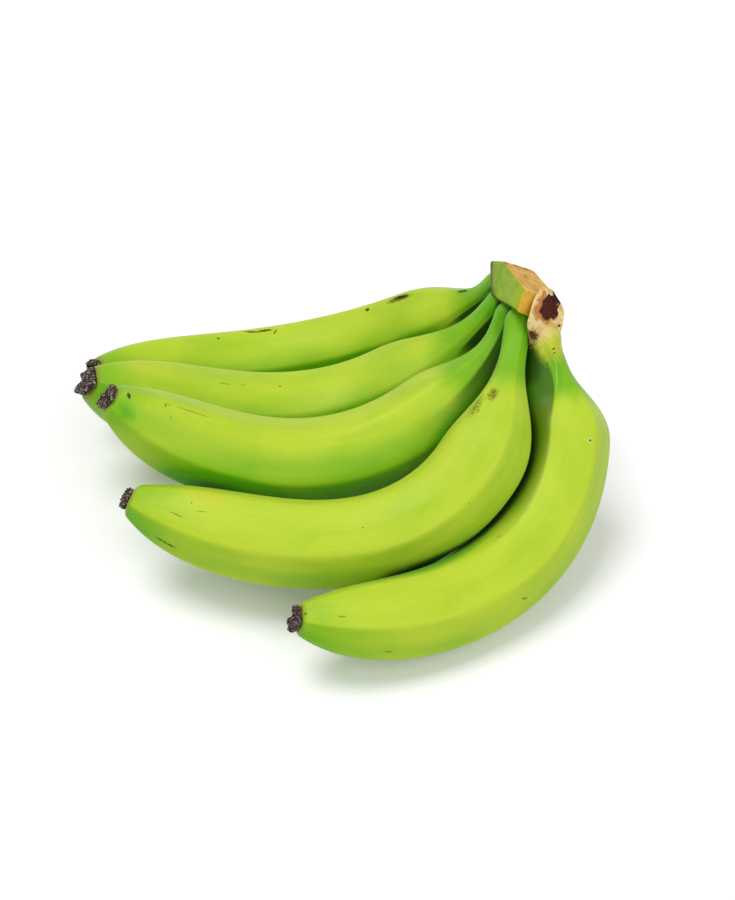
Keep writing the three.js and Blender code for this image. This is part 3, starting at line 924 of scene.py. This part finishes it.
def peel_material(number, banana, size, groups):
    """The skin of one banana with its marks, tint by tint."""
    look = LOOKS[number - 1]
    material, tree, shader = new_material(f"peel {number}")
    unbent = attribute(tree, "unbent", "Vector")
    # the face of painted shade that looks at another stalk
    inner_side, half_width, inner_start, inner_end, inner = look["inner"]
    skin = add_node(tree, "Group", {
        "Unbent": unbent, "Ridge": attribute(tree, "ridge"),
        "Contact Shade": attribute(tree, "contact_shade"), "Sheltered Shade": attribute(tree, "sheltered_shade"),
        "Length": banana["length"] * MM, "Ripens": look["ripens"], "Ripe": look["ripe"],
        "Tip": look["tip"], "Shade": look["shade"],
        "Green Side": side_vector(look["green_side"]), "Greenness": look["greenness"],
        "Tip Greenness": look["tip_greenness"], "Edge": look["edge"],
        "Inner Side": side_vector(inner_side),
        "Inner Edge": math.cos(math.radians(half_width)),
        "Inner Start": inner_start, "Inner End": inner_end, "Inner": inner,
        "Belly": (*size.ripe_colour, 1), "Stalk": (*size.green_colour, 1),
    }, node_tree=groups["peel"])
    colour = skin.outputs["Color"]
    rough = skin.outputs["Roughness"]
    for tint, marks in look["marks"].items():
        mask = spots_mask(tree, groups["blemish"], unbent,
                          [peel_spot(mark, banana, size) for mark in marks])
        colour = tinted(tree, mask, colour, (*TINTS[tint], 1))
        if tint in ROUGH_TINTS:
            rough = figure(tree, "MULTIPLY_ADD", mask, 0.25, rough)
    tree.links.new(colour, shader.inputs["Base Color"])
    tree.links.new(rough, shader.inputs["Roughness"])
    add_bump(tree, shader, 0.12, 0.3 * MM, skin.outputs["Height"])
    shader.inputs["Specular IOR Level"].default_value = 0.17
    shader.inputs["Sheen Weight"].default_value = 0.05
    shader.inputs["Sheen Roughness"].default_value = 0.4
    shader.inputs["Sheen Tint"].default_value = (0.9, 1, 0.7, 1)
    return material


def crown_material(size, blemish):
    """Green skin with a painted shadow in dark brown along its lip, the tan fibrous cut, and the
    stem's cream end with its brown core."""
    material, tree, shader = new_material("crown")
    place = attribute(tree, "crown_place", "Vector")
    turn = (0, 0, math.radians(FIBRE_COMPASS))
    along = add_node(tree, "Mapping", {"Vector": place, "Rotation": turn, "Scale": (7, 1, 1)},
                     vector_type="TEXTURE").outputs[0]
    fibres = noise(tree, along, 1000, 4, 0.65)
    coarse = noise(tree, place, 320, 4, 0.6)
    fine = noise(tree, place, 1300, 3, 0.6)
    on_stem = attribute(tree, "stem")
    # skin
    broad = noise(tree, place, 130, 2, 0.5)
    colour = tinted(tree, between(tree, broad, 0.35, 0.65), (0.22, 0.42, 0.008, 1),
                    (0.37, 0.5, 0.02, 1))
    colour = tinted(tree, between(tree, coarse, 0.58, 0.72, 0.0, 0.4), colour,
                    (0.12, 0.3, 0.006, 1))
    # painted shadow along the lip under the crown
    lip_shadow = figure(tree, "MULTIPLY", attribute(tree, "lip_shadow"), between(tree, coarse, 0.3, 0.5, 0.75))
    colour = tinted(tree, lip_shadow, colour, (0.035, 0.022, 0.01, 1))
    # the stem's side, tan near its cut
    side = tinted(tree, between(tree, coarse, 0.4, 0.6), (0.45, 0.5, 0.06, 1),
                  (0.62, 0.5, 0.2, 1))
    frame_of_cut = Matrix(cut_axes()).transposed()
    cut_at = STEM_CUT[2]
    near_cut = between(tree, cosine(tree, place, frame_of_cut.col[0]), (cut_at - 8) * MM,
                       (cut_at - 3) * MM)
    colour = tinted(tree, figure(tree, "MULTIPLY", near_cut, on_stem), colour, side)
    # the long cut and the rest of the block's cuts
    tan = tinted(tree, between(tree, fibres, 0.35, 0.55), (0.5, 0.24, 0.045, 1),
                 (*size.cut_colour, 1))
    tan = tinted(tree, between(tree, fibres, 0.57, 0.7, 0.0, 0.9), tan, (0.86, 0.68, 0.34, 1))
    orange = tinted(tree, between(tree, coarse, 0.35, 0.6), (0.8, 0.38, 0.03, 1),
                    (0.76, 0.46, 0.07, 1))
    tan = tinted(tree, attribute(tree, "long_cut"), orange, tan)
    tan = tinted(tree, between(tree, fine, 0.64, 0.72, 0.0, 0.75), tan, (0.3, 0.1, 0.03, 1))
    colour = tinted(tree, attribute(tree, "cut"), colour, tan)
    edge = figure(tree, "MULTIPLY", attribute(tree, "edge"), between(tree, coarse, 0.42, 0.52))
    colour = tinted(tree, edge, colour, (0.16, 0.05, 0.015, 1))
    # the stem's end
    cream = tinted(tree, between(tree, coarse, 0.4, 0.6), (0.9, 0.72, 0.36, 1),
                   (0.78, 0.48, 0.14, 1))
    cream = tinted(tree, between(tree, fine, 0.6, 0.7, 0.0, 0.5), cream, (0.86, 0.75, 0.5, 1))
    colour = tinted(tree, attribute(tree, "stem_end"), colour, cream)
    turned = frame_of_cut.to_euler()
    for tint, spots in CROWN_SPOTS.items():
        laid = [(frame_of_cut @ Vector((cut_at, across, up)) * MM, turned,
                 (SPOT_DEPTH, width / 2 * MM, tall / 2 * MM), *look)
                for across, up, width, tall, *look in spots]
        mask = figure(tree, "MULTIPLY", spots_mask(tree, blemish, place, laid), on_stem)
        colour = tinted(tree, mask, colour, (*CROWN_TINTS[tint], 1))
    stain = figure(tree, "MULTIPLY", attribute(tree, "halo"), between(tree, fine, 0.3, 0.6, 0.6))
    colour = tinted(tree, stain, colour, (0.5, 0.17, 0.03, 1))
    core = tinted(tree, between(tree, fine, 0.35, 0.65), (0.03, 0.007, 0.005, 1),
                  (0.11, 0.022, 0.014, 1))
    colour = tinted(tree, attribute(tree, "core"), colour, core)
    tree.links.new(colour, shader.inputs["Base Color"])
    rough = figure(tree, "MAXIMUM", attribute(tree, "cut"), attribute(tree, "stem_end"))
    tree.links.new(between(tree, rough, 0.0, 1.0, 0.5, 0.85), shader.inputs["Roughness"])
    height = figure(tree, "MULTIPLY_ADD", fibres, attribute(tree, "cut"), fine)
    add_bump(tree, shader, 0.5, 0.3 * MM, height)
    shader.inputs["Specular IOR Level"].default_value = 0.15
    return material


def flower_material(size):
    """Dry blackish brown with reddish patches, pinkish grey flakes and a few tan ones."""
    material, tree, shader = new_material("dried flower")
    place = add_node(tree, "TexCoord").outputs["Object"]
    coarse = noise(tree, place, 420, 3, 0.6)
    flakes = noise(tree, place, 900, 3, 0.65)
    specks = noise(tree, scaled(tree, place, (1.3, 1, 0.8)), 1500, 2, 0.6)
    colour = tinted(tree, between(tree, coarse, 0.5, 0.62, 0.0, 0.8), (*size.colour, 1),
                    (0.055, 0.026, 0.019, 1))
    colour = tinted(tree, between(tree, flakes, 0.52, 0.62, 0.0, 0.8), colour,
                    (0.3, 0.22, 0.2, 1))
    colour = tinted(tree, between(tree, specks, 0.58, 0.66, 0.0, 0.9), colour,
                    (0.62, 0.53, 0.5, 1))
    colour = tinted(tree, between(tree, coarse, 0.68, 0.74, 0.0, 0.8), colour,
                    (0.5, 0.27, 0.09, 1))
    tree.links.new(colour, shader.inputs["Base Color"])
    tree.links.new(between(tree, flakes, 0.3, 0.7, 0.65, 0.9), shader.inputs["Roughness"])
    add_bump(tree, shader, 0.7, 0.4 * MM, figure(tree, "ADD", flakes, specks))
    shader.inputs["Specular IOR Level"].default_value = 0.2
    return material


def finish_piece(piece, node, material):
    """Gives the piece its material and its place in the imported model."""
    piece.data.materials.append(material)
    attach(piece, "root")
    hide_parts(node)


# ---- Operators --------------------------------------------------------------------------
class HAND_OT_bananas(bpy.types.Operator):
    """Makes the five bananas with their stalks"""
    bl_idname = "hand.bananas"
    bl_label = "Bananas"

    def execute(self, context):
        size = context.scene.banana_settings
        groups = {"blemish": blemish_group("peel mark"), "peel": peel_group()}
        for number, banana in enumerate(BANANAS, start=1):
            grid, unbent, ridge = peel_surface(banana, size)
            scale, shift = banana_place(number, banana, size)
            placed = grid * scale + shift
            piece = add_piece(f"peel_{number}", placed, middles(placed))
            add_marks(piece, "unbent", unbent, middles(unbent))
            add_marks(piece, "ridge", ridge, (0, 0))
            # painted shade: near black where the bananas touch, greener and darker near them
            contact_shade, sheltered_shade = nearness(number, placed, size)
            add_marks(piece, "contact_shade", contact_shade, (0, 0))
            add_marks(piece, "sheltered_shade", sheltered_shade, (0, 0))
            material = peel_material(number, banana, size, groups)
            finish_piece(piece, f"banana_{number}", material)
        return {"FINISHED"}


class HAND_OT_crown(bpy.types.Operator):
    """Makes the cut crown that joins the stalks"""
    bl_idname = "hand.crown"
    bl_label = "Cut crown"

    def execute(self, context):
        size = context.scene.crown_settings
        points, values = crown_surface(size)
        bananas = context.scene.banana_settings
        shift = np.mean([banana_place(number, banana, bananas)[1]
                         for number, banana in enumerate(BANANAS, start=1)], axis=0)
        placed = points[1:-1] + CROWN_CENTRE + shift
        piece = add_piece("cut_crown", placed, points[[0, -1], 0] + CROWN_CENTRE + shift)
        add_marks(piece, "crown_place", points[1:-1], points[[0, -1], 0])
        for name, value in values.items():
            add_marks(piece, name, value[1:-1], value[[0, -1], 0])
        material = crown_material(size, blemish_group("crown spot"))
        finish_piece(piece, "crown", material)
        return {"FINISHED"}


class HAND_OT_flowers(bpy.types.Operator):
    """Makes the dried flower on each tip"""
    bl_idname = "hand.flowers"
    bl_label = "Dried flowers"

    def execute(self, context):
        size = context.scene.flower_settings
        material = flower_material(size)
        for number, banana in enumerate(BANANAS, start=1):
            grid = remnant_surface(banana, number - 1, size)
            scale, shift = laid_on(grid, f"flower_remnant_{number}", INSET / 2)
            placed = grid * scale + shift
            piece = add_piece(f"dried_flower_{number}", placed, middles(placed))
            finish_piece(piece, f"flower_remnant_{number}", material)
        return {"FINISHED"}


class HAND_OT_stage(bpy.types.Operator):
    """Makes the floor, the light and the camera"""
    bl_idname = "hand.stage"
    bl_label = "Stage"

    def execute(self, context):
        low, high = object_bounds()
        settings = context.scene.stage_settings
        add_floor(settings, low.z)
        for name, light in LIGHTS.items():
            add_light(name, *light)
        add_sky(context.scene, settings)
        add_camera(context.scene, (low + high) / 2)
        return {"FINISHED"}


def backgaroundrays(tree):
    """1 for the camera's rays and for those that a glossy or clear surface sends on."""
    rays = add_node(tree, "LightPath").outputs
    return figure(tree, "MAXIMUM", rays["Is Camera Ray"], figure(
        tree, "MAXIMUM", rays["Is Glossy Ray"], rays["Is Transmission Ray"]))


def add_floor(settings, level):
    """A square floor at this level, near white to the camera."""
    mesh = bpy.data.meshes.new("floor")
    corners = [(x * FLOOR_HALF, y * FLOOR_HALF, level)
               for x, y in ((-1, -1), (1, -1), (1, 1), (-1, 1))]
    mesh.from_pydata(corners, [], [(0, 1, 2, 3)])
    floor = bpy.data.objects.new("floor", mesh)
    bpy.context.collection.objects.link(floor)
    material, tree, shader = new_material("floor")
    shader.inputs["Roughness"].default_value = 0.9
    shader.inputs["Specular IOR Level"].default_value = 0.1
    shown = backgaroundrays(tree)
    colour = tinted(tree, shown, (*settings.floor_colour, 1),
                    (0.97, 0.955, 0.99, 1))
    tree.links.new(colour, shader.inputs["Base Color"])
    shader.inputs["Emission Color"].default_value = (1, 1, 0.99, 1)
    tree.links.new(figure(tree, "MULTIPLY", shown, FLOOR_GLOW),
                   shader.inputs["Emission Strength"])
    mesh.materials.append(material)
    floor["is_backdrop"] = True


def add_light(name, compass, rise, power, softness):
    """A sun that shines from this compass direction and rise, as wide as its softness."""
    lamp = bpy.data.lights.new(name, "SUN")
    lamp.energy = power
    lamp.angle = math.radians(softness)
    light = bpy.data.objects.new(name, lamp)
    light.rotation_euler = Vector(heading(compass, rise)).to_track_quat("Z", "Y").to_euler()
    bpy.context.collection.objects.link(light)


def add_sky(scene, settings):
    """Even white light from all round, and a white background."""
    world = bpy.data.worlds.new("studio")
    world.use_nodes = True
    scene.world = world
    tree = world.node_tree
    sky = tree.nodes["Background"]
    strength = add_node(tree, "Mix", {0: backgaroundrays(tree),
                                      2: settings.sky_strength, 3: 1.0})
    sky.inputs["Color"].default_value = (1, 1, 1, 1)
    tree.links.new(strength.outputs[0], sky.inputs["Strength"])


def add_camera(scene, middle):
    """A camera in front of the object, raised and looking down at its aim."""
    lens = bpy.data.cameras.new("camera")
    lens.lens = CAMERA_LENS
    camera = bpy.data.objects.new("camera", lens)
    aim = middle + Vector(CAMERA_AIM)
    camera.location = aim + Vector(heading(-90, CAMERA_RISE)) * CAMERA_DISTANCE
    camera.rotation_euler = (math.radians(90 - CAMERA_RISE), 0, 0)
    bpy.context.collection.objects.link(camera)
    scene.camera = camera


class HAND_PT_panel(bpy.types.Panel):
    """Lists the pieces of the hand"""
    bl_idname = "HAND_PT_panel"
    bl_label = "Hand of bananas"
    bl_space_type = "VIEW_3D"
    bl_region_type = "UI"
    bl_category = "Bananas"

    def draw(self, context):
        for group, kind in SETTINGS.items():
            for name in kind.__annotations__:
                self.layout.prop(getattr(context.scene, group), name)
        for operator in OPERATORS:
            self.layout.operator(operator.bl_idname)


SETTINGS = {"banana_settings": BananaSettings, "crown_settings": CrownSettings,
            "flower_settings": FlowerSettings, "stage_settings": StageSettings}
OPERATORS = (HAND_OT_bananas, HAND_OT_crown, HAND_OT_flowers, HAND_OT_stage)
CLASSES = (*SETTINGS.values(), *OPERATORS, HAND_PT_panel)


def register():
    """Registers the classes and gives the scene their settings."""
    for each in CLASSES:
        bpy.utils.register_class(each)
    for group, kind in SETTINGS.items():
        setattr(bpy.types.Scene, group, bpy.props.PointerProperty(type=kind))


def unregister():
    """Takes away what register gave."""
    for group in SETTINGS:
        delattr(bpy.types.Scene, group)
    for each in reversed(CLASSES):
        bpy.utils.unregister_class(each)


def main():
    """Makes every piece and the stage."""
    register()
    bpy.context.scene.view_settings.view_transform = "Standard"
    bpy.ops.hand.bananas()
    bpy.ops.hand.crown()
    bpy.ops.hand.flowers()
    bpy.ops.hand.stage()


if __name__ == "__main__":
    main()
